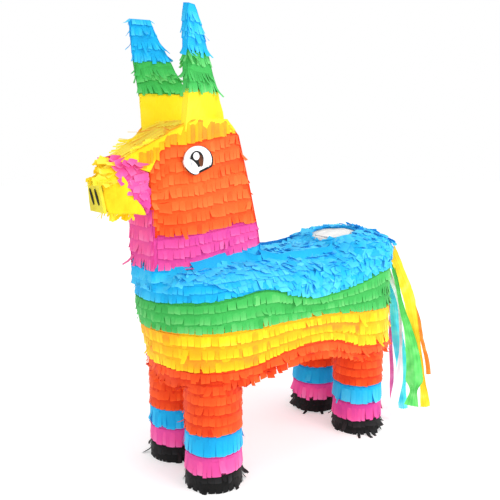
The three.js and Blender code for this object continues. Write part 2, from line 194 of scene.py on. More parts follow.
def cardboard(name, plain, dark):
    """Corrugated board: flutes that show through as faint lines, and speckled fibres."""
    nodes = Nodes(name)
    place = nodes.add("ShaderNodeTexCoord")
    flutes = nodes.add("ShaderNodeTexWave", bands_direction="Z")
    flutes.inputs["Scale"].default_value = 45
    flutes.inputs["Distortion"].default_value = 0.6
    nodes.link(place.outputs["Object"], flutes.inputs["Vector"])
    fibres = nodes.noise(600, 5)
    factor = nodes.math("ADD", nodes.math("MULTIPLY", flutes.outputs["Fac"], 0.25),
                        nodes.math("MULTIPLY", fibres, 0.75))
    nodes.link(nodes.ramp(factor, (0.25, dark), (0.65, plain)), nodes.shader.inputs["Base Color"])
    nodes.bump(factor, 0.0005, 0.5)
    nodes.set({"Roughness": 0.9})
    return nodes.material


def tissues(kind, glow, shades):
    """Tissue materials by colour: each has a deep, plain and light shade, and some a deepest."""
    return {
        colour: tissue(f"{colour}_{kind}", *row, glow=glow) for colour, row in shades.items()
    }


TISSUE = tissues("tissue", 0.1, {
    "orange": ((218, 48, 4), (252, 92, 30), (255, 128, 60)),
    "pink": ((186, 40, 142), (238, 82, 160), (244, 138, 196)),
    "blue": ((0, 136, 204), (16, 180, 236), (86, 212, 252)),
    "green": ((22, 134, 46), (64, 184, 86), (132, 220, 132)),
    "yellow": ((242, 180, 14), (251, 222, 26), (255, 240, 84), (250, 140, 36)),
    "black": ((4, 4, 4), (14, 14, 15), (44, 44, 46)),
})
RIBBON = tissues("ribbon", 0.18, {
    "orange": ((226, 88, 14), (255, 136, 44), (255, 188, 110)),
    "yellow": ((244, 178, 16), (254, 218, 48), (255, 244, 140)),
    "green": ((60, 184, 76), (112, 230, 116), (190, 250, 176)),
    "white": ((206, 208, 214), (242, 243, 245), (255, 255, 255)),
    "cyan": ((30, 190, 236), (92, 230, 255), (190, 248, 255)),
    "pink": ((216, 70, 150), (244, 128, 186), (252, 190, 220)),
})
CARDBOARD = cardboard("cardboard", (190, 152, 104), (150, 112, 70))
SOLE = cardboard("sole_cardboard", (26, 26, 27), (8, 8, 8))
FLAP = paper("flap_paper", (246, 246, 244), (214, 216, 216))
MUZZLE = paper("muzzle_paper", (240, 226, 52), (214, 194, 26))
WHITE_BOARD = cardboard("white_board", (242, 242, 238), (206, 206, 200))
NOSTRIL = paper("nostril_paper", (44, 40, 10), (16, 14, 4), 0.8)
EYE = {
    colour: paper(f"eye_{colour}_print", plain, dark, 0.35)
    for colour, plain, dark in (
        ("white", (252, 252, 252), (238, 239, 242)),
        ("black", (16, 14, 14), (6, 5, 5)),
        ("brown", (126, 66, 28), (74, 34, 12)),
        ("grey", (196, 200, 208), (140, 142, 150)),
    )
}


# ---- The skin that the tissue is pasted on, sampled by rays ----

def is_skin(name):
    return name.endswith("_fringe") and "_ear_" not in name


def skin_tree():
    """A ray tree over the CAD's tissue, and the node that each of its faces belongs to."""
    points, faces, owners = [], [], []
    for name in sorted(filter(is_skin, NODES)):
        start = len(points)
        mesh = NODES[name].data
        points += [vertex.co.copy() for vertex in mesh.vertices]
        for polygon in mesh.polygons:
            faces.append([start + i for i in polygon.vertices])
            owners.append(name)
    return BVHTree.FromPolygons(points, faces), owners


TREE, OWNERS = skin_tree()
RAY_START = 0.4  # a distance that is outside the object everywhere
MISSES = 3  # samples in a row that may fall into the gap between two CAD pieces
NORMAL_PASSES = 2
SHORT_OF_LAST = 1.001  # keeps a place just short of the last sample


def hit_from(outside, direction):
    """(point, normal, node) where a ray first meets the tissue, or None."""
    point, normal, index, _ = TREE.ray_cast(outside, direction)
    return None if point is None else (point, normal, OWNERS[index])


def compass(angle):
    """A level direction, by its angle from X."""
    return Vector((math.cos(angle), math.sin(angle), 0))


class Wrap:
    """A sheet of samples on the object: a column of hits for each station, one for each level.

    away is the direction in which the levels rise. A column is followed from its home level
    both ways until it misses or jumps, and then goes straight on.
    """

    def __init__(self, place, stations, lowest, highest, step, home, away=UP):
        self.lowest = lowest
        self.step = step
        count = int((highest - lowest) / step) + 1
        start = int((home - lowest) / step)
        self.points, self.normals, self.nodes = [], [], []
        for station in stations:
            column = [place(station, lowest + step * j) for j in range(count)]
            self._follow(column, start, away)
        self._smooth()

    def _follow(self, column, start, away):
        count = len(column)
        if column[start] is None:
            start = min((j for j in range(count) if column[j]), key=lambda j: abs(j - start))
        points, normals, nodes = ([None] * count for _ in range(3))
        points[start], normals[start], nodes[start] = column[start]
        for way, end in ((1, count), (-1, -1)):
            missed = 0
            for j in range(start + way, end, way):
                before, here = points[j - way], column[j]
                farthest = (4 + 2 * missed) * self.step
                if missed < MISSES and here and (here[0] - before).length < farthest:
                    points[j], normals[j], nodes[j] = here
                    missed = 0
                else:
                    points[j] = before + away * (self.step * way)
                    normals[j] = normals[j - way]
                    missed += 1
        self.points.append(points)
        self.normals.append(normals)
        self.nodes.append(nodes)

    def _smooth(self):
        """Rounds the facets' normals off by taking in their neighbours'."""
        for _ in range(NORMAL_PASSES):
            before = self.normals
            self.normals = []
            for i, column in enumerate(before):
                left, right = before[max(i - 1, 0)], before[min(i + 1, len(before) - 1)]
                self.normals.append([
                    (left[j] + 2 * here + right[j] + column[max(j - 1, 0)]
                     + column[min(j + 1, len(column) - 1)]).normalized()
                    for j, here in enumerate(column)
                ])

    def at(self, station, level):
        """(point, normal) at a station and a level that may lie between the samples."""
        station = min(max(station, 0), len(self.points) - SHORT_OF_LAST)
        row = (level - self.lowest) / self.step
        row = min(max(row, 0), len(self.points[0]) - SHORT_OF_LAST)
        i, j = int(station), int(row)
        s, t = station - i, row - j

        def mixed(columns):
            here = columns[i][j].lerp(columns[i][j + 1], t)
            beyond = columns[i + 1][j].lerp(columns[i + 1][j + 1], t)
            return here.lerp(beyond, s)

        return mixed(self.points), mixed(self.normals).normalized()

    def band(self, name):
        """For each station, the lowest and highest level on a node, or None."""
        edges = []
        for column in self.nodes:
            rows = [j for j, node in enumerate(column) if node == name]
            edges.append((self.lowest + self.step * (rows[0] - 0.5),
                          self.lowest + self.step * (rows[-1] + 0.5)) if rows else None)
        return edges


EYE_CENTRES = [sum(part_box(name), Vector()) / 2 for name in ("left_eye", "right_eye")]
EYE_MARGIN = 32 * MM  # no strand stands up this near to an eye's centre


# ---- Meshes ----

class Sheets:
    """Collects thin sheets of tissue, each point with its shade from 0, deep, to 1, light."""

    def __init__(self):
        self.points, self.faces, self.shades = [], [], []

    def point(self, place, shade):
        self.points.append(place)
        self.shades.append(shade)
        return len(self.points) - 1

    def grid(self, rows):
        """Faces between rows of point numbers."""
        for upper, lower in zip(rows, rows[1:]):
            for i in range(len(upper) - 1):
                self.faces.append((upper[i], upper[i + 1], lower[i + 1], lower[i]))

    def object(self, name, material):
        mesh = bpy.data.meshes.new(name)
        mesh.from_pydata([tuple(p) for p in self.points], [], self.faces, shade_flat=False)
        attribute = mesh.attributes.new("shade", "FLOAT", "POINT")
        attribute.data.foreach_set("value", self.shades)
        mesh.materials.append(material)
        mesh.update()
        return add_object(name, mesh)


def under_layer(name, inwards=1.5 * MM, shade=0.3):
    """New sheets with a copy of a CAD skin, a little thinner all over, to lie under the rows. Its
    usual shade, 0.3, is deeper than a cut's usual 0.5: painted shade in the gaps between strands.
    """
    mesh = NODES[name].data
    sheets = Sheets()
    for vertex in mesh.vertices:
        sheets.point(vertex.co - vertex.normal * inwards, shade)
    sheets.faces = [tuple(polygon.vertices) for polygon in mesh.polygons]
    return sheets


class Cut:
    """How a tissue is cut and pasted, in millimetres. What a cut doesn't name is as it is here."""

    width = (5.0, 9.5)  # of a strand
    overlap = 1.5  # a strip's length, in exposed rows
    slit = 0.72  # share of the exposed length that is slit
    wild = 0.03  # share of strands that stand off
    stray = 0.008  # share of strands that fly away
    flare = 0.5  # how far the tips stand off
    lift = 0.55  # of the tips over the skin
    ragged = 1.0  # unevenness of the tips
    sunk = 1.7  # depth of the pasted edge
    shade = 0.5  # from 0, deep, to 1, light
    tint = 0.0  # how much lighter the tips are than the roots
    pieces = (70, 190)  # length of one pasted piece

    def __init__(self, **own):
        self.__dict__.update(own)


def interpolate(x, xs, ys):
    """ys at x, where xs rises."""
    i = min(max(bisect_right(xs, x) - 1, 0), len(xs) - 2)
    share = (x - xs[i]) / max(xs[i + 1] - xs[i], 1e-9)
    return ys[i] + (ys[i + 1] - ys[i]) * min(max(share, 0), 1)


SHORTEST_STRIP = 4 * MM
SHORTEST_PIECE = 30 * MM  # what is left over beyond a piece joins it if it is shorter
SLACK = 3 * MM  # a row that ends this near to its end is full
LAP = 1.5 * MM  # by how much a piece runs on past its own ends
ROOT_DEPTH = 0.45  # of a strand's root, as a share of the pasted edge's
EDGE_PAINTED_SHADE, ROOT_PAINTED_SHADE, TIP_PAINTED_LIGHT = 0.25, 0.04, 0.22  # painted shade at a strip's pasted edge and roots, painted light at its tips
WIDE_SHARE, WIDE = 0.07, 1.9  # some strands are about twice as wide
STORM, STORM_WILDNESS = 0.33, 6  # noise above the first marks patches of ruffled strands
STEPS = 3  # faces down a strand or a petal


def strip(sheets, wrap, first, tips, pitches, cut, dice):
    """One row of tissue: a pasted strip, slit into strands below, in several pieces."""
    index = range(first, first + len(tips))
    places = [wrap.at(i, tip)[0] for i, tip in zip(index, tips)]
    gaps = ((here - before).length for before, here in zip(places, places[1:]))
    lengths = list(itertools.accumulate(gaps, initial=0.0))
    total = lengths[-1]
    if total < SHORTEST_STRIP:
        return
    position = 0.0
    while position < total - SLACK:
        length = dice.uniform(*cut.pieces) * MM
        end = total if total - position - length < SHORTEST_PIECE else position + length
        piece(sheets, wrap, (index, tips, pitches, lengths), (position, end), cut, dice)
        position = end


def piece(sheets, wrap, row, span, cut, dice):
    """One pasted piece of a row, between two running lengths along it."""
    index, tips, pitches, lengths = row
    edges = [span[0] - LAP]
    while edges[-1] < span[1]:
        wide = WIDE if dice.random() < WIDE_SHARE else 1.0
        edges.append(edges[-1] + dice.uniform(*cut.width) * MM * wide)
    stretch = (span[1] + LAP - edges[0]) / (edges[-1] - edges[0])
    edges = [edges[0] + (edge - edges[0]) * stretch for edge in edges]
    shift = dice.gauss(0, 0.7) * cut.ragged * MM
    sunk = dice.uniform(-0.3, 0.3) * MM
    shade = cut.shade + dice.gauss(0, 0.07)

    def facts(length):
        """The station, the tips' level and the row's pitch at a running length."""
        station, tip, pitch = (interpolate(length, lengths, ys) for ys in (index, tips, pitches))
        return station, tip + shift, pitch

    def on_skin(station, level, height):
        point, normal = wrap.at(station, level)
        return point + normal * height

    heads = []
    for edge in edges:
        station, tip, pitch = facts(edge)
        head = tip + pitch * cut.overlap
        root = tip + pitch * cut.slit
        ripple = noise.noise(Vector((edge * 60, tip * 90, shade * 9))) * 0.5 * MM
        root_height = -ROOT_DEPTH * cut.sunk * MM + sunk + ripple
        # The pasted edge and the roots, covered by the row above, are painted darker as shade.
        heads.append((
            sheets.point(on_skin(station, head, -cut.sunk * MM + sunk), shade - EDGE_PAINTED_SHADE),
            sheets.point(on_skin(station, root, root_height), shade - ROOT_PAINTED_SHADE),
        ))
    sheets.grid([[head for head, _ in heads], [root for _, root in heads]])

    for i, (left, right) in enumerate(zip(edges, edges[1:])):
        middle = (left + right) / 2
        station, tip, pitch = facts(middle)
        root = tip + pitch * cut.slit
        base, _ = wrap.at(station, tip)
        along = (wrap.at(station + 0.4, tip)[0] - wrap.at(station - 0.4, tip)[0]).normalized()
        storm = noise.noise(base * 22 + Vector((cut.shade * 40, 0, 0))) > STORM
        calm = any((base - eye).length < EYE_MARGIN for eye in EYE_CENTRES)
        wild = dice.random() < (cut.wild * STORM_WILDNESS if storm else cut.wild) and not calm
        stray = dice.random() < cut.stray and not calm
        reach = 1 + dice.gauss(0, 0.035) * cut.ragged
        flare = abs(dice.gauss(0, 0.7)) * cut.flare * MM
        sway = dice.gauss(0, 0.45) * cut.flare * MM
        if wild:
            flare += dice.uniform(2, 6) * cut.flare * MM
            sway += dice.gauss(0, 2.2) * MM
            reach *= dice.uniform(0.75, 1.12)
        if stray:
            flare += dice.uniform(5, 10) * MM
            reach *= dice.uniform(1.0, 1.35)
        twist = dice.gauss(0, 0.05 + 0.25 * wild)
        taper = dice.uniform(0.88, 0.98) * (0.5 if stray else 1.0)
        slant = dice.gauss(0, 0.4) * MM
        own = shade + dice.gauss(0, 0.075)
        roots = (heads[i][1], None, heads[i + 1][1])
        rows = []
        half = (right - left) / 2
        for step in range(STEPS + 1):
            t = step / STEPS
            level = root - (root - tip) * reach * t
            rise = -ROOT_DEPTH * cut.sunk * (1 - t) * MM + cut.lift * t * MM + flare * t * t
            numbers = []
            for side in (-1, 0, 1):
                if step == 0 and side != 0:
                    numbers.append(roots[side + 1])
                    continue
                across = side * half * (1 + (taper - 1) * t)
                where, _, _ = facts(middle + across)
                height = rise + side * twist * half * t - abs(side) * 0.35 * MM * t
                place, out = wrap.at(where, level - side * slant * t)
                place += out * height
                # Each strand gets painted light, lighter towards its free tip.
                numbers.append(sheets.point(place + along * sway * t * t,
                                            own + TIP_PAINTED_LIGHT * t * t + cut.tint * t))
            rows.append(numbers)
        sheets.grid(rows)


def fringe(sheets, wrap, edges, rows, cut, dice, overhang=0.0):
    """Rows of strips over a band, from its lowest up, so that each lies over the one below it."""
    for there, run in itertools.groupby(enumerate(edges), lambda item: item[1] is not None):
        run = list(run)
        if not there or len(run) < 3:
            continue
        feet = smoothed([edge[0] for _, edge in run])
        tops = smoothed([edge[1] for _, edge in run])
        pitches = [(top - foot) / rows for foot, top in zip(feet, tops)]
        for k in range(rows):
            tips = [foot + pitch * k - overhang for foot, pitch in zip(feet, pitches)]
            strip(sheets, wrap, run[0][0], tips, pitches, cut, dice)


def smoothed(values):
    """The values levelled out, each with its neighbours, three times over."""
    for _ in range(3):
        values = [(values[max(i - 1, 0)] + values[i] + values[min(i + 1, len(values) - 1)]) / 3
                  for i in range(len(values))]
    return values


def drawn(dice, *limits):
    """A random length for each pair of limits in millimetres."""
    return [dice.uniform(*pair) * MM for pair in limits]


def petal(sheets, point, normal, heading, size, cut, dice):
    """A short ruffled piece of tissue that stands up from the skin."""
    along = (heading - normal * heading.dot(normal)).normalized()
    across = normal.cross(along)
    length, width = size
    lift = dice.uniform(0.8, 4.2) * cut.flare * MM
    cup = dice.gauss(0, 0.25)
    curl = dice.uniform(-1.2, 1.6) * MM
    roll = dice.gauss(0, 0.22)
    shade = cut.shade + dice.gauss(0, 0.11)
    start = dice.uniform(-1.8, -0.4) * MM
    rows = []
    for step in range(STEPS + 1):
        t = step / STEPS
        numbers = []
        for side in (-1, 0, 1):
            half = side * width / 2 * (1 - 0.18 * t)
            height = start + lift * t ** 1.4 + curl * math.sin(math.pi * t)
            height += cup * abs(half) * t + roll * half * t
            place = point + along * (length * (t - 0.35)) + across * half + normal * height
            # A petal's foot is painted a little darker as shade, and its tip lighter as painted
            # light.
            numbers.append(sheets.point(place, shade - 0.08 + TIP_PAINTED_LIGHT * t))
        rows.append(numbers)
    sheets.grid(rows)


def finish_tissue(sheets, name):
    """Makes the piece that stands for a CAD node, such as body_blue_fringe."""
    colour = name.split("_")[-2]
    made = sheets.object(f"{name}_tissue", TISSUE[colour])
    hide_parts(name)
    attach(made, "body")


# ---- Where the body's parts are, from the frame ----

def low(name, axis):
    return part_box(name)[0][axis]


def high(name, axis):
    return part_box(name)[1][axis]


X, Y, Z = 0, 1, 2
HALF_WIDTH = (high("body_yellow_fringe", Y) - low("body_yellow_fringe", Y)) / 2
FRONT = low("body_yellow_fringe", X) + HALF_WIDTH
REAR = high("body_yellow_fringe", X) - HALF_WIDTH
LEG_RADIUS = (high("front_left_leg_blue_fringe", X) - low("front_left_leg_blue_fringe", X)) / 2
LEGS = ("front_left", "front_right", "rear_left", "rear_right")
LEGS_TOP = 0.128  # a leg's own rows end here, and the torso's begin
ROWS_TOP = 0.283  # the torso's blue rows end here, and the back's snippets begin
EARS_FOOT = 0.450  # the head's yellow side rows end here
NECK_FRONT, NECK_REAR, NECK_RADIUS = -0.165, -0.110, 0.045  # a core with all the neck round it
OVER_BACK = 0.33  # rays down on the back start here
OVER_FOREHEAD = 0.4545  # rays down on the forehead start here, under the ears' bands
UNDER_BELLY = 0.04  # rays up to the belly start here, between the legs


def stadium(front, rear, radius, spacing):
    """(core point, direction) of rays all round the line from front to rear.

    They lie spacing apart on an oval of that radius, and start at the middle of the +Y side.
    """
    turn, side = math.pi * radius, rear - front
    around = 2 * (turn + side)
    count = int(around / spacing)
    stations = []
    for i in range(count + 1):
        along = around * i / count - side / 2
        if along < 0:
            x, direction = rear + along, Vector((0, 1, 0))
        elif along < turn:
            x, direction = rear, compass(math.pi / 2 - along / radius)
        elif along < turn + side:
            x, direction = rear - along + turn, Vector((0, -1, 0))
        elif along < 2 * turn + side:
            x, direction = front, compass(-math.pi / 2 - (along - turn - side) / radius)
        else:
            x, direction = front + (along - (2 * turn + side)), Vector((0, 1, 0))
        stations.append((Vector((x, 0, 0)), direction))
    return stations


def inwards(station, level):
    core, direction = station
    return hit_from(core + direction * RAY_START + UP * level, -direction)


def limited(edges, highest=math.inf, least=5 * MM):
    """Band edges cut off at a highest level; a band that is left thinner than least goes."""
    edges = [edge and (edge[0], min(edge[1], highest)) for edge in edges]
    return [edge if edge and edge[1] - edge[0] > least else None for edge in edges]


TORSO = Wrap(inwards, stadium(FRONT, REAR, HALF_WIDTH, spacing=5 * MM),
             lowest=0.090, highest=0.300, step=2 * MM, home=0.174)
NECK = Wrap(inwards, stadium(NECK_FRONT, NECK_REAR, NECK_RADIUS, spacing=4.5 * MM),
            lowest=0.262, highest=0.456, step=2 * MM, home=0.330)


# ---- Body ----

def make_band(wrap, name, rows, cut, seed):
    """A tissue piece that is rows and nothing else."""
    sheets = under_layer(name)
    fringe(sheets, wrap, wrap.band(name), rows, cut, random.Random(seed))
    finish_tissue(sheets, name)


def scattered(name, start, direction, dice, spacing, jitter, facing):
    """Hits on a body piece that faces up or down, on a loose grid of rays from one height."""
    spots = []
    x = low(name, X)
    while x < high(name, X):
        y = -HALF_WIDTH
        while y < HALF_WIDTH:
            outside = Vector((x + dice.uniform(-jitter, jitter) * spacing,
                              y + dice.uniform(-jitter, jitter) * spacing, start))
            found = hit_from(outside, direction)
            if found and found[2] == name and found[1].dot(-direction) > facing:
                spots.append(found)
            y += spacing
        x += spacing
    return spots


def make_body_orange():
    """Belly and upper legs, with the hem that hangs below the yellow band."""
    dice = random.Random(13)
    name = "body_orange_fringe"
    # The under layer and the belly's snippets are nearly the deepest orange: painted shade,
    # chiefly for the underside between the legs.
    sheets = under_layer(name, 1.2 * MM, 0.05)
    belly = scattered(name, UNDER_BELLY, UP, dice, spacing=8 * MM, jitter=0.4, facing=0.4)
    for point, normal, _ in belly:
        heading = Vector((dice.gauss(0, 1), dice.gauss(0, 1), 0))
        size = drawn(dice, (9, 15), (4, 9))
        petal(sheets, point, normal, heading, size, Cut(shade=0.08, flare=1.2), dice)
    for leg in LEGS:
        wrap = leg_wrap(leg)
        edges = limited(wrap.band(name), highest=LEGS_TOP)
        fringe(sheets, wrap, edges, 4, Cut(wild=0.06, shade=0.24), dice)
    hem = 25 * MM  # the two rows that hang from the yellow band's lower edge
    edges = [edge and (edge[0] - hem, edge[0]) for edge in TORSO.band("body_yellow_fringe")]
    fringe(sheets, TORSO, edges, 2, Cut(wild=0.25, shade=0.34, ragged=2.4, flare=0.8), dice)
    finish_tissue(sheets, name)


SHOULDERS_REAR = -0.03  # the two shoulders' rows reach back to here,
SHOULDERS_INNER = 0.066  # and this near to the middle
RUMP_FRONT = -0.06  # behind this, ruffled snippets lie over the torso's rows too


def shoulder_wrap(side):
    """One shoulder: stations along X, and levels in metres in from the body's side."""
    def place(x, level):
        return hit_from(Vector((x, side * (HALF_WIDTH - level), OVER_BACK)), -UP)

    xs = [(-180 + 5 * i) * MM for i in range(32)]
    return Wrap(place, xs, lowest=1 * MM, highest=HALF_WIDTH - 0.052, step=1.5 * MM,
                home=12 * MM, away=Vector((0, -side, 0)))


def make_body_blue():
    """Rows round the torso's top and over the shoulders, and snippets on the back and rump."""
    dice = random.Random(14)
    name = "body_blue_fringe"
    sheets = under_layer(name, shade=0.4)
    edges = limited(TORSO.band(name), highest=ROWS_TOP)
    fringe(sheets, TORSO, edges, 3, Cut(wild=0.12, shade=0.5), dice)
    collar = limited(NECK.band(name), least=4 * MM)
    fringe(sheets, NECK, collar, 1, Cut(wild=0.1, shade=0.5), dice)
    for side in (-1, 1):
        shoulder = shoulder_wrap(side)
        cut = Cut(wild=0.1, shade=0.55, slit=0.94, overlap=1.1)
        fringe(sheets, shoulder, shoulder.band(name), 3, cut, dice, overhang=3 * MM)
    cut = Cut(shade=0.6, flare=0.45)
    back = scattered(name, OVER_BACK, -UP, dice, spacing=7 * MM, jitter=0.5, facing=0.3)
    for point, normal, _ in back:
        if point.x < SHOULDERS_REAR and abs(point.y) > SHOULDERS_INNER:
            continue
        outwards = Vector((0.25 * dice.gauss(0, 1), math.copysign(1, point.y), 0))
        heading = outwards + Vector((dice.gauss(0, 0.9), dice.gauss(0, 0.9), 0))
        size = drawn(dice, (11, 20), (9, 17))
        petal(sheets, point, normal, heading, size, cut, dice)
    for i, edge in enumerate(edges[:-1]):
        for _ in range(3):
            station = i + dice.random()
            if edge is None:
                continue
            level = dice.uniform(edge[0] + 9 * MM, edge[1])
            point, normal = TORSO.at(station, level)
            if point.x < RUMP_FRONT or normal.z > 0.6:  # the top has its own snippets
                continue
            heading = Vector((dice.gauss(0, 0.8), 0, -1 + dice.gauss(0, 0.5)))
            size = drawn(dice, (10, 19), (8, 14))
            petal(sheets, point, normal, heading, size, cut, dice)
    finish_tissue(sheets, name)


# ---- Legs ----

def leg_wrap(leg):
    """All round a leg: stations by angle, from a seam between the legs."""
    lowest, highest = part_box(f"{leg}_hoof_sole")
    x, y = (lowest[X] + highest[X]) / 2, (lowest[Y] + highest[Y]) / 2
    outside = LEG_RADIUS + 5 * MM

    def place(angle, level):
        direction = compass(angle)
        return hit_from(Vector((x, y, level)) + direction * outside, -direction)

    seam = math.copysign(math.pi / 2, y)
    count = 46
    angles = [-seam + 2 * math.pi * i / count for i in range(count + 1)]
    return Wrap(place, angles, lowest=0.0, highest=0.134, step=1.5 * MM, home=0.060)


def make_leg(leg, seed):
    dice = random.Random(seed)
    wrap = leg_wrap(leg)
    plan = (
        ("leg_blue", 1, Cut(wild=0.06, slit=0.8, overlap=1.3, shade=0.4)),
        ("leg_pink", 1, Cut(wild=0.09, slit=0.8, overlap=1.3, shade=0.42, ragged=1.6)),
        ("hoof_black", 2, Cut(wild=0.35, stray=0.09, ragged=1.8, shade=0.4)),
    )
    for band, rows, cut in plan:
        name = f"{leg}_{band}_fringe"
        sheets = under_layer(name, 1.2 * MM)
        fringe(sheets, wrap, wrap.band(name), rows, cut, dice)
        finish_tissue(sheets, name)


# ---- Neck and head ----

def make_neck_pink():
    dice = random.Random(31)
    name = "neck_pink_fringe"
    sheets = under_layer(name)
    edges = NECK.band(name)
    tall = 45 * MM  # the band is taller round the front, and has a row more there
    front = limited(edges, least=tall)
    sides = [None if taller else edge for edge, taller in zip(edges, front)]
    fringe(sheets, NECK, front, 4, Cut(wild=0.2, stray=0.05, shade=0.4), dice)
    fringe(sheets, NECK, sides, 3, Cut(wild=0.06, shade=0.46), dice)
    finish_tissue(sheets, name)


def from_above(y, x):
    return hit_from(Vector((x, y, OVER_FOREHEAD)), -UP)


def between(edges, front, rear):
    """The neck's band edges where its top lies between two places in X, and None elsewhere."""
    return [edge if edge and front <= column[-1].x < rear else None
            for edge, column in zip(edges, NECK.points)]


def pasted(name, depth, seed):
    """A CAD skin as smooth pasted tissue: finely divided, with crumples of that depth."""
    mesh = bmesh.new()
    mesh.from_mesh(NODES[name].data)
    bmesh.ops.remove_doubles(mesh, verts=mesh.verts, dist=1e-6)
    for _ in range(5):  # halves the long edges until none is left
        long = [edge for edge in mesh.edges if edge.calc_length() > 5 * MM]
        if not long:
            break
        bmesh.ops.subdivide_edges(mesh, edges=long, cuts=1)
        bmesh.ops.triangulate(mesh, faces=[face for face in mesh.faces if len(face.verts) > 3])
    mesh.normal_update()
    offset = Vector((seed, 0, 0))
    sheets = Sheets()
    for vertex in mesh.verts:
        fold = noise.noise(vertex.co * 90 + offset)
        fold += 0.5 * abs(noise.noise(vertex.co * 210 + offset))
        place = vertex.co + vertex.normal * (fold * depth - depth / 2)
        sheets.point(place, 0.5 + 0.3 * noise.noise(place * 30 + offset))
    sheets.faces = [tuple(vertex.index for vertex in face.verts) for face in mesh.faces]
    mesh.free()
    return sheets


def tuft(sheets, count, lowest, highest, heading, normal, size, cut, dice):
    """Loose snippets in a box and its mirror image, all turned roughly one way.

    The box's corners and the limits of a snippet's length and width are in millimetres.
    """
    for i in range(count):
        mirror = Vector((1, 1 if i % 2 else -1, 1))
        place = Vector(drawn(dice, *zip(lowest, highest))) * mirror
        turned = Vector(heading) * mirror + Vector([dice.gauss(0, 0.4) for _ in range(3)])
        out = Vector(normal) * mirror + Vector([dice.gauss(0, 0.2) for _ in range(3)])
        petal(sheets, place, out.normalized(), turned, drawn(dice, *size), cut, dice)


def pasted_on(sheets, name, count, lowest, highest, heading, size, cut, dice):
    """Snippets on both sides of a node, between two corners in X and Z, in millimetres."""
    for i in range(count):
        side = 1 if i % 2 else -1
        x, z = drawn(dice, *zip(lowest, highest))
        found = hit_from(Vector((x, side * RAY_START, z)), Vector((0, -side, 0)))
        turned = Vector(heading) + Vector((dice.gauss(0, 0.5), 0, dice.gauss(0, 0.5)))
        snippet = drawn(dice, *size)
        if found and found[2] == name:
            petal(sheets, found[0], found[1], turned, snippet, cut, dice)


def make_head_yellow():
    dice = random.Random(33)
    name = "head_yellow_fringe"
    sheets = pasted(name, 0.6 * MM, 3.0)
    ys = [(-44 + 4 * i) * MM for i in range(23)]
    slope = Wrap(from_above, ys, lowest=-0.246, highest=-0.100, step=2 * MM, home=-0.200,
                 away=Vector((1, 0, 0)))
    cut = Cut(width=(1.8, 4.2), wild=0.05, shade=0.45, slit=0.96, overlap=1.6, sunk=0.1, lift=0.9,
              flare=0.4, ragged=2.6, stray=0.01)
    fringe(sheets, slope, slope.band(name), 4, cut, dice, overhang=3 * MM)
    sides = limited(NECK.band(name), highest=EARS_FOOT)
    # The head's sides have long strands in front, then two golden strips.
    drape = Cut(width=(2.5, 5.5), wild=0.06, shade=0.52, slit=0.9, overlap=1.2, ragged=2.2)
    fringe(sheets, NECK, between(sides, -math.inf, -0.183), 2, drape, dice, overhang=2 * MM)
    for front, rear, shade in ((-0.188, -0.145, 0.32), (-0.149, math.inf, 0.14)):
        golden = Cut(width=(4, 8), wild=0.05, shade=shade, slit=0.92, overlap=1.0, tint=-0.25,
                     ragged=2.4, sunk=0.4)
        fringe(sheets, NECK, between(sides, front, rear), 1, golden, dice, overhang=1 * MM)
    spiky = Cut(shade=0.66, flare=1.4)
    tuft(sheets, 16, (-246, 0, 400), (-228, 20, 405), (-1, 0.3, 0.3), (-0.4, 0.6, 0.6),
         ((11, 19), (5, 9)), spiky, dice)
    finish_tissue(sheets, name)


def make_snout():
    dice = random.Random(34)
    name = "snout_yellow_fringe"
    sheets = pasted(name, 2.8 * MM, 7.0)
    ruffled = Cut(shade=0.66, flare=1.3)
    tuft(sheets, 30, (-255, 0, 379), (-240, 21, 386), (-1, 0.4, 0.1), (-0.5, 0.7, 0.5),
         ((8, 15), (6, 11)), ruffled, dice)
    tuft(sheets, 20, (-250, 0, 385), (-230, 21, 395), (-1, 0.4, 0.2), (-0.4, 0.7, 0.6),
         ((9, 16), (6, 11)), ruffled, dice)
    beard = Cut(shade=0.5, flare=1.6)
    tuft(sheets, 24, (-246, 0, 343), (-216, 21, 347), (-0.6, 0.1, -1), (-0.7, 0.7, 0),
         ((9, 17), (2.5, 5)), beard, dice)
    finish_tissue(sheets, name)
    name = "snout_pink_fringe"
    sheets = pasted(name, 3.2 * MM, 9.0)
    crumpled = Cut(shade=0.5, flare=1.3)
    tuft(sheets, 34, (-236, 6, 398), (-206, 31, 408), (-0.8, 0.5, 0), (-0.2, 0.85, 0.5),
         ((10, 17), (7, 12)), crumpled, dice)
    pasted_on(sheets, name, 40, (-232, 352), (-200, 400), (-0.7, 0, -0.6), ((11, 19), (8, 14)),
              Cut(shade=0.5, flare=0.7), dice)
    pasted_on(sheets, name, 24, (-222, 356), (-203, 388), (-0.7, 0, -0.6), ((9, 14), (7, 11)),
              Cut(shade=0.56, flare=0.5), dice)
    pasted_on(sheets, name, 36, (-227, 354), (-214, 374), (0.5, 0, -0.85), ((9, 13), (5, 8)),
              Cut(shade=0.52, flare=0.2), dice)
    finish_tissue(sheets, name)


# ---- Ears ----

def ear_frame(side):
    """The flat ear's broad face's centre, and its axes: along its width, up it, and across it."""
    mesh = NODES[f"{side}_ear"].data
    broad = max(mesh.polygons, key=lambda polygon: polygon.area)
    across = broad.normal.copy()
    along = UP.cross(across).normalized()
    if along.x < 0:
        along.negate()
    up = along.cross(across).normalized()
    if up.z < 0:
        up.negate()
    return broad.center, along, up, across


HEM = 16 * MM  # how far an ear's strands may hang below their own band


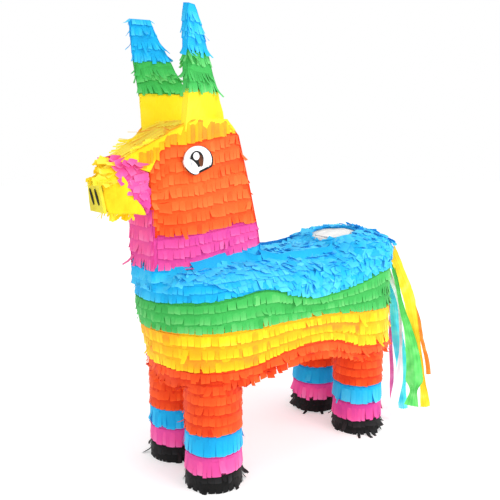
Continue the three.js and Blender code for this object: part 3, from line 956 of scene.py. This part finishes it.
def ear_wrap(side, name):
    """A wrap that goes round the flat ear: its outer face, an edge, its inner face, an edge."""
    centre, along, up, across = ear_frame(side)
    mesh = NODES[name].data
    points = [vertex.co - centre for vertex in mesh.vertices]
    edges = [[points[v] for v in edge.vertices] for edge in mesh.edges]

    def span(axis):
        reaches = [point.dot(axis) for point in points]
        return min(reaches), max(reaches)

    thick = span(across)
    lowest, highest = span(up)

    @functools.cache
    def width(level):
        crossings = []
        for a, b in edges:
            ha, hb = a.dot(up) - level, b.dot(up) - level
            if (ha < 0) != (hb < 0):
                crossings.append((a + (b - a) * (ha / (ha - hb))).dot(along))
        return (min(crossings), max(crossings)) if crossings else None

    def place(station, level):
        if width(level) is None:
            return None
        first, last = width(level)
        corners = ((first, thick[1]), (last, thick[1]), (last, thick[0]), (first, thick[0]))
        face = int(station)
        share = station - face
        (x, y), (next_x, next_y) = corners[face], corners[(face + 1) % 4]
        x += (next_x - x) * share
        y += (next_y - y) * share
        normal = (across, along, -across, -along)[face]
        return centre + along * x + across * y + up * level, normal, "ear"

    flat = [i / 10 for i in range(10)]
    stations = flat + [1, 1.5] + [2 + share for share in flat] + [3, 3.5, 3.9999]
    wrap = Wrap(place, stations, lowest=lowest - HEM, highest=highest, step=2 * MM,
                home=(lowest + highest) / 2, away=up)
    return wrap, lowest, highest


def make_ear(side, seed):
    dice = random.Random(seed)
    for colour, rows, overhang in (("green", 3, 4 * MM), ("blue", 4, 0)):
        name = f"{side}_ear_{colour}_fringe"
        wrap, lowest, highest = ear_wrap(side, name)
        sheets = under_layer(name, 0.5 * MM, 0.42)
        cut = Cut(width=(3, 6.5), wild=0.26, stray=0.07, shade=0.48, sunk=0.9, ragged=4.2,
                  slit=0.85, flare=0.7, lift=1.1)
        edges = [(lowest, highest)] * len(wrap.points)
        fringe(sheets, wrap, edges, rows, cut, dice, overhang)
        finish_tissue(sheets, name)


# ---- Eyes ----

PRINT_BACK, PRINT_FRONT = 1.0 * MM, 0.8 * MM  # a print's faces, from the CAD eye's inner face
LAYER = 0.12 * MM  # each of an eye's layers stands this far over the one below it


def plate(outline, near, far, side):
    """A flat closed plate: an outline in X and Z, between two distances from the middle."""
    count = len(outline)
    points = [(x, side * distance, z) for distance in (near, far) for x, z in outline]
    faces = [tuple(range(count)), tuple(range(2 * count - 1, count - 1, -1))]
    for i in range(count):
        j = (i + 1) % count
        faces.append((i, i + count, j + count, j))
    return points, faces


def oval(x, z, half_width, half_height, tilt=0.0, count=48):
    cos, sin = math.cos(tilt), math.sin(tilt)
    places = []
    for i in range(count):
        angle = 2 * math.pi * i / count
        a, b = half_width * math.cos(angle), half_height * math.sin(angle)
        places.append((x + a * cos - b * sin, z + a * sin + b * cos))
    return places


def make_eye(side_name, side):
    """A printed eye in flat layers. A spot's place and size are shares of the eye's own."""
    lowest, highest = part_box(f"{side_name}_eye")
    x = (lowest[X] + highest[X]) / 2 + 2.5 * MM
    z = (lowest[Z] + highest[Z]) / 2 - 1.5 * MM
    half = (highest[X] - lowest[X]) / 2
    tall = (highest[Z] - lowest[Z]) / 2
    face = min(abs(lowest[Y]), abs(highest[Y]))

    def spot(across, up, width, height, tilt=0.0):
        return oval(x + across * half, z + up * tall, width * half, height * tall, tilt)

    def trimmed(outline, margin):
        """The lower edge is cut straight, up towards the rear."""
        return [(px, max(pz, z + tall * (margin - 1 + 0.46 * max(0, (px - x) / half + 0.33))))
                for px, pz in outline]

    layers = (
        (trimmed(oval(x, z, half, tall), 0), "black"),
        (trimmed(spot(-0.05, 0.05, 0.945, 0.94), 0.17), "white"),
        (spot(0.62, -0.02, 0.1, 0.42, 0.1), "grey"),
        (spot(0.58, 0.0, 0.1, 0.42, 0.1), "white"),
        (spot(-0.15, 0.11, 0.46, 0.55, 0.1), "black"),
        (spot(0.12, 0.0, 0.16, 0.40, 0.12), "brown"),
        (spot(-0.53, -0.36, 0.62, 0.36, -0.72), "white"),
        (spot(-0.61, -0.04, 0.05, 0.33, 0.35), "grey"),
        (spot(-0.66, -0.05, 0.04, 0.33, 0.35), "white"),
        (spot(-0.21, 0.31, 0.21, 0.26), "white"),
    )
    points, faces, kinds = [], [], []
    for number, (outline, kind) in enumerate(layers):
        top = face + PRINT_FRONT + number * LAYER
        plate_points, plate_faces = plate(outline, face - PRINT_BACK, top, side)
        start = len(points)
        points += plate_points
        faces += [tuple(start + i for i in plate_face) for plate_face in plate_faces]
        kinds += [list(EYE).index(kind)] * len(plate_faces)
    mesh = bpy.data.meshes.new(f"{side_name}_eye_print")
    mesh.from_pydata(points, [], faces)
    for material in EYE.values():
        mesh.materials.append(material)
    mesh.polygons.foreach_set("material_index", kinds)
    mesh.validate()
    closed = bmesh.new()
    closed.from_mesh(mesh)
    bmesh.ops.recalc_face_normals(closed, faces=closed.faces)
    closed.to_mesh(mesh)
    closed.free()
    made = add_object(f"{side_name}_eye_print", mesh)
    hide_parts(f"{side_name}_eye")
    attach(made, "body")


# ---- Tail ribbons ----

FOLDS = 4  # pleats on each side of a ribbon's middle
RIBBON_ROWS = 60


def centre_line(name, count):
    """The middle of a CAD ribbon, from its top down."""
    mesh = NODES[name].data
    bottom, top = low(name, Z) + 1 * MM, high(name, Z) - 3 * MM
    line = []
    for i in range(count):
        level = top + (bottom - top) * i / (count - 1)
        crossings = []
        for edge in mesh.edges:
            a, b = (mesh.vertices[v].co for v in edge.vertices)
            if (a.z < level) != (b.z < level):
                crossings.append(a.lerp(b, (level - a.z) / (b.z - a.z)))
        line.append(sum(crossings, Vector()) / len(crossings))
    return line


def make_ribbon(colour, width, facing, gathers, seed):
    """A ribbon on its CAD line. gathers: places down it, each with the share of width left."""
    dice = random.Random(seed)
    name = f"tail_ribbon_{colour}"
    line = centre_line(name, RIBBON_ROWS)
    places, shares = zip(*gathers)
    sheets = Sheets()
    rows = []
    phase = dice.uniform(0, 6)
    for i, place in enumerate(line):
        t = i / (len(line) - 1)
        along = (line[min(i + 1, len(line) - 1)] - line[max(i - 1, 0)]).normalized()
        side = compass(facing + 0.25 * math.sin(9 * t + phase))
        side = (side - along * side.dot(along)).normalized()
        out = side.cross(along)
        gather = interpolate(t, places, shares)
        pleat = math.sqrt(1 - gather ** 2)
        crease = 0.3 * (1 + 0.4 * math.sin(14 * t + phase))
        drift = side * 1.6 * MM * math.sin(11 * t + 2 * phase)
        drift += out * 1.2 * MM * math.sin(17 * t + phase)
        numbers = []
        for j in range(-FOLDS, FOLDS + 1):
            across = j / FOLDS * width / 2 * gather
            height = abs(across) * math.sin(crease) + (j % 2) * pleat * width / (2 * FOLDS)
            crumple = noise.noise(Vector((across * 70, t * 16, seed))) * 1.3 * MM
            where = place + drift * min(1, 4 * t) + side * across * math.cos(crease)
            where += out * (height + crumple)
            shade = 0.5 + 0.35 * noise.noise(Vector((across * 90, t * 22, seed + 4)))
            # The hollow folds of the pleats are painted darker as shade.
            numbers.append(sheets.point(where, shade - 0.25 * pleat * (1 - j % 2)))
        rows.append(numbers)
    sheets.grid(rows)
    made = sheets.object(f"{name}_strip", RIBBON[colour])
    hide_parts(name)
    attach(made, "body")


# ---- All the pieces ----

make_band(TORSO, "body_green_fringe", 3, Cut(wild=0.1, shade=0.5), 11)
make_band(TORSO, "body_yellow_fringe", 3, Cut(wild=0.03, shade=0.28), 12)
make_body_orange()
make_body_blue()
for number, leg in enumerate(LEGS):
    make_leg(leg, 21 + number)
make_neck_pink()
make_band(NECK, "head_orange_fringe", 7,
          Cut(wild=0.07, stray=0.02, shade=0.52, pieces=(50, 120)), 32)
make_head_yellow()
make_snout()
make_ear("left", 41)
make_ear("right", 42)
make_eye("left", -1)
make_eye("right", 1)
RIBBONS = (  # colour, width in millimetres, direction it faces, and its gathers
    ("orange", 10, -0.4, ((0, 0.5), (0.2, 0.9), (0.5, 0.7), (1, 0.8))),
    ("yellow", 22, -0.5,
     ((0, 0.5), (0.1, 0.75), (0.25, 0.98), (0.45, 0.8), (0.65, 0.4), (0.8, 0.4), (1, 0.9))),
    ("green", 30, -0.6,
     ((0, 0.2), (0.3, 0.24), (0.5, 0.5), (0.7, 0.8), (0.84, 0.98), (0.89, 0.4), (0.92, 0.4),
      (1, 0.8))),
    ("white", 16, -0.6, ((0, 0.3), (0.25, 0.6), (0.4, 0.3), (0.62, 0.3), (0.8, 0.95), (1, 0.9))),
    ("cyan", 20, -0.6, ((0, 0.3), (0.35, 0.7), (0.55, 0.98), (0.85, 0.9), (1, 0.8))),
    ("pink", 10, -0.8, ((0, 0.5), (0.3, 0.6), (1, 0.65))),
)
for number, (colour, width, facing, gathers) in enumerate(RIBBONS):
    make_ribbon(colour, width * MM, facing, gathers, 51 + number)

# ---- CAD pieces that keep their shape ----

KEPT = (  # the first ending that fits a node's name gives its material
    ("filler_flap", FLAP),
    ("muzzle_plate", MUZZLE),
    ("back_panel", WHITE_BOARD),
    ("_hoof_sole", SOLE),
    ("_nostril", NOSTRIL),
    (("_panel", "_strip", "_ear", "_leg_tube"), CARDBOARD),
)
for node_name, node in NODES.items():
    material = next((kept for ending, kept in KEPT if node_name.endswith(ending)), None)
    if material:
        for material_slot in node.material_slots:
            material_slot.material = material

# ---- Floor and light ----

FLOOR_CORNERS = [(-6, -6, 0), (6, -6, 0), (6, 6, 0), (-6, 6, 0)]

floor_mesh = bpy.data.meshes.new("floor")
floor_mesh.from_pydata(FLOOR_CORNERS, [], [(0, 1, 2, 3)])
floor_paper = paper("floor_paper", (222, 222, 222), (220, 220, 220), roughness=0.9, glow=0.45)
floor_mesh.materials.append(floor_paper)
floor = add_object("floor", floor_mesh)

world = bpy.data.worlds.new("studio")
world.use_nodes = True
sky = world.node_tree
direction = sky.nodes.new("ShaderNodeTexCoord")
axes = sky.nodes.new("ShaderNodeSeparateXYZ")
dimming = sky.nodes.new("ShaderNodeMapRange")  # darker on the side that the nose points to
for limit, value in (("From Min", -0.9), ("From Max", 0.1), ("To Min", 0.78), ("To Max", 1.0)):
    dimming.inputs[limit].default_value = value
sky.links.new(direction.outputs["Generated"], axes.inputs["Vector"])
sky.links.new(axes.outputs["X"], dimming.inputs["Value"])
sky.links.new(dimming.outputs["Result"], sky.nodes["Background"].inputs["Strength"])
sky.nodes["Background"].inputs["Color"].default_value = (1, 1, 1, 1)
bpy.context.scene.world = world

KEY_PLACE = Vector((0.7, -1.6, 1.4))
KEY_TARGET = Vector((0, 0, 0.25))

key_light = bpy.data.lights.new("key", "AREA")
key_light.size = 1.2
key_light.energy = 20
key = add_object("key", key_light)
key.location = KEY_PLACE
key.rotation_euler = (KEY_TARGET - KEY_PLACE).to_track_quat("-Z", "Y").to_euler()
